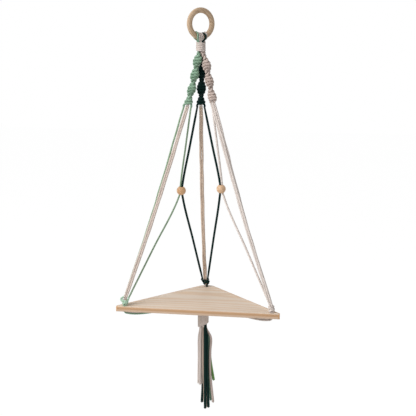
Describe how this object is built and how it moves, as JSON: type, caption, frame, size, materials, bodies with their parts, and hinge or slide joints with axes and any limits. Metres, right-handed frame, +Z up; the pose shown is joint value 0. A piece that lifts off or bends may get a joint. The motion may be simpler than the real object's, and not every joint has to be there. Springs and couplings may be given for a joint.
{
  "type": "hanging rope shelf",
  "caption": "Corner shelf hung from a wooden ring by knotted cotton cords: spiral sinnets, beads on the back cords, a three-cornered board and a tassel.",
  "frame": {"origin": "where a hook bears on the wooden ring, at the top of its hole", "axes": "+X along the board's front edge, +Y towards the corner of the room, +Z up"},
  "size_m": [0.382, 0.1896, 0.9525],
  "materials": {
    "ring_wood": "matt natural",
    "bead_wood": "satin natural",
    "board_wood": "sanded natural",
    "white_cotton": "twisted cord",
    "mint_cotton": "twisted cord",
    "dark_cotton": "twisted cord"
  },
  "bodies": {
    "ring": {"ring": "ring_wood"},
    "hanger": {"mint_ring_loop": "mint_cotton", "white_ring_loop_1": "white_cotton", "white_ring_loop_2": "white_cotton", "white_ring_loop_3": "white_cotton", "dark_ring_loop": "dark_cotton", "white_ring_loop_4": "white_cotton", "gathered_cords_top": "white_cotton", "top_wrap": "white_cotton"},
    "shelf": {"left_bead": "bead_wood", "right_bead": "bead_wood", "shelf_board": "board_wood", "bottom_wrap": "white_cotton", "gathered_cords_bottom": "white_cotton", "mint_sinnet": "mint_cotton", "dark_sinnet": "dark_cotton", "white_sinnet": "white_cotton", "left_knot": "mint_cotton", "back_knot": "dark_cotton", "right_knot": "white_cotton", "left_mint_strand": "mint_cotton", "left_white_strand_1": "white_cotton", "left_white_strand_2": "white_cotton", "left_beaded_mint_strand": "mint_cotton", "back_beaded_dark_strand_left": "dark_cotton", "back_white_strand_1": "white_cotton", "back_white_strand_2": "white_cotton", "back_beaded_dark_strand_right": "dark_cotton", "right_beaded_white_strand": "white_cotton", "right_white_strand_1": "white_cotton", "right_white_strand_2": "white_cotton", "right_white_strand_3": "white_cotton", "left_under_strand_1": "white_cotton", "left_under_strand_2": "mint_cotton", "left_under_strand_3": "mint_cotton", "left_under_strand_4": "white_cotton", "back_under_strand_1": "white_cotton", "back_under_strand_2": "dark_cotton", "back_under_strand_3": "white_cotton", "back_under_strand_4": "dark_cotton", "right_under_strand_1": "white_cotton", "right_under_strand_2": "white_cotton", "right_under_strand_3": "white_cotton", "right_under_strand_4": "white_cotton", "white_tail_1": "white_cotton", "white_tail_2": "white_cotton", "white_tail_3": "white_cotton", "white_tail_4": "white_cotton", "white_tail_5": "white_cotton", "white_tail_6": "white_cotton", "white_tail_7": "white_cotton", "white_tail_8": "white_cotton", "mint_tail_1": "mint_cotton", "mint_tail_2": "mint_cotton", "dark_tail_1": "dark_cotton", "dark_tail_2": "dark_cotton", "dark_tail_3": "dark_cotton"}
  },
  "joints": [
    {"name": "swing", "type": "hinge", "parent": "ring", "child": "hanger", "pos_m": [0, 0, -0.052], "axis": [0.766, 0.6428, 0], "range_deg": [-20, 20]},
    {"name": "turn", "type": "hinge", "parent": "hanger", "child": "shelf", "pos_m": [0, 0, -0.085], "axis": [0, 0, 1], "range_deg": [-90, 90], "stiffness_Nm_per_rad": 0.01}
  ]
}
